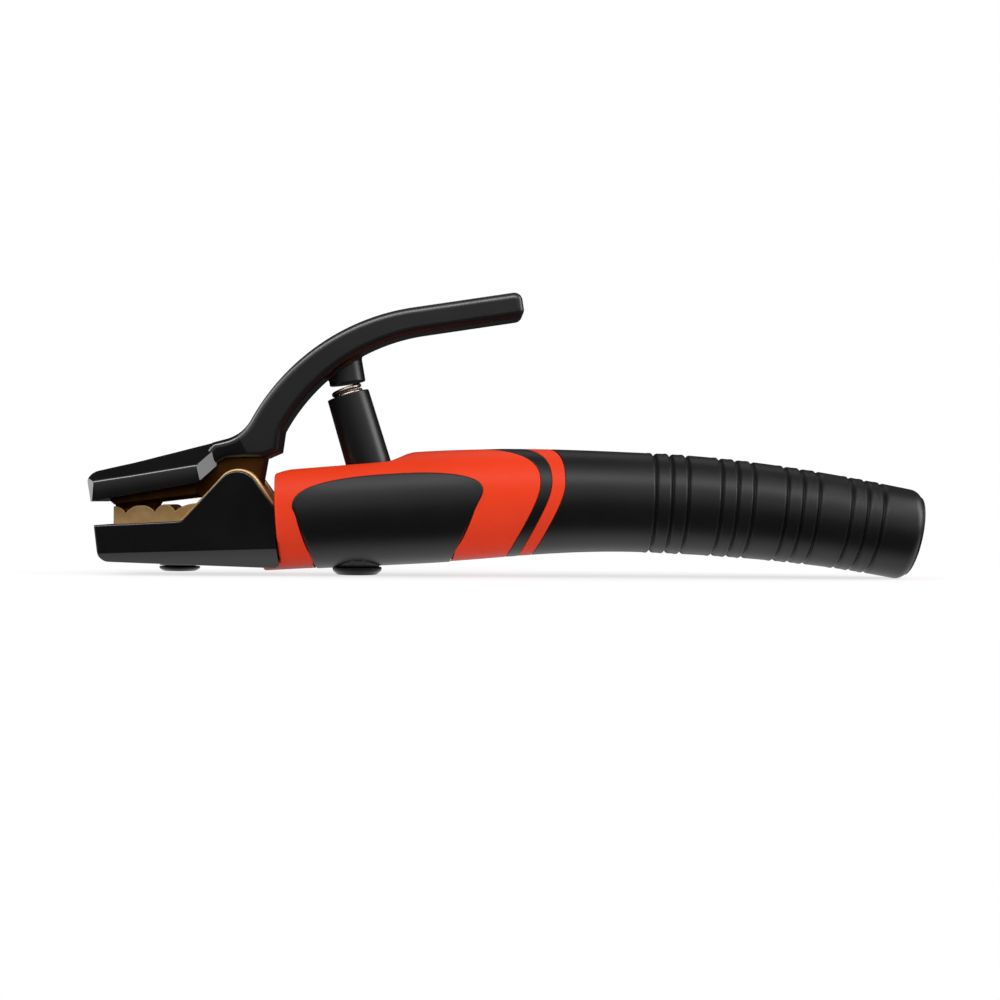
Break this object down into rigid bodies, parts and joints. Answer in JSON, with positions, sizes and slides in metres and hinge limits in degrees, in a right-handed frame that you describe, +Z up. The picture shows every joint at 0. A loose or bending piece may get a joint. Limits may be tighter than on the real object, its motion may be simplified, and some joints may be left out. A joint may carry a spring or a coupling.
{
  "type": "welding electrode holder",
  "caption": "Hand-held welding electrode holder: insulated sprung brass jaws worked by a curved squeeze lever on a red handle with soft black grips and a cable bore.",
  "frame": {"origin": "under the middle of the holder, on the surface that it lies on", "axes": "+X along the handle towards the cable end, jaws at -X, +Y across the holder, +Z up towards the lever"},
  "size_m": [0.2562, 0.0348, 0.0874],
  "materials": {
    "jaw_brass": "sand cast brass, dull, with bright worn edges",
    "clamp_copper": "rolled copper strip",
    "spring_steel": "bright drawn steel",
    "screw_black": "black zinc, satin",
    "cover_black": "gloss moulded phenolic",
    "lever_black": "satin moulded nylon",
    "handle_red": "satin moulded red nylon",
    "grip_black": "soft overmoulded elastomer",
    "fibre": "vulcanised fibre"
  },
  "bodies": {
    "holder": {"lower_jaw": "jaw_brass", "lower_jaw_cover": "cover_black", "lower_cover_screw": "screw_black", "pivot_pin": "spring_steel", "handle_shell": "handle_red", "grip_pad": "grip_black", "grip_band": "grip_black", "grip_sleeve": "grip_black", "handle_screw": "screw_black", "cable_screw_front": "spring_steel", "cable_screw_rear": "spring_steel", "cable_clamp_plate": "clamp_copper"},
    "lever": {"upper_jaw": "jaw_brass", "upper_jaw_cover": "cover_black", "lever_sleeve": "lever_black", "upper_cover_screw": "screw_black"},
    "guard": {"spring_guard_tube": "lever_black", "spring_seat_washer": "fibre", "spring": "spring_steel"}
  },
  "joints": [
    {"name": "lever_squeeze", "type": "hinge", "parent": "holder", "child": "lever", "pos_m": [-0.08357, 0, 0.02553], "axis": [0, 1, 0], "range_deg": [0, 8.5], "stiffness_Nm_per_rad": 6, "springref_deg": -11.46, "deforming": ["spring"]},
    {"name": "guard_rock", "type": "hinge", "parent": "holder", "child": "guard", "pos_m": [-0.04292, 0, 0.02823], "axis": [0, 1, 0], "range_deg": [0, 8.6]}
  ],
  "couplings": [
    {"joint": "guard_rock", "follows": "lever_squeeze", "ratio": 1}
  ]
}
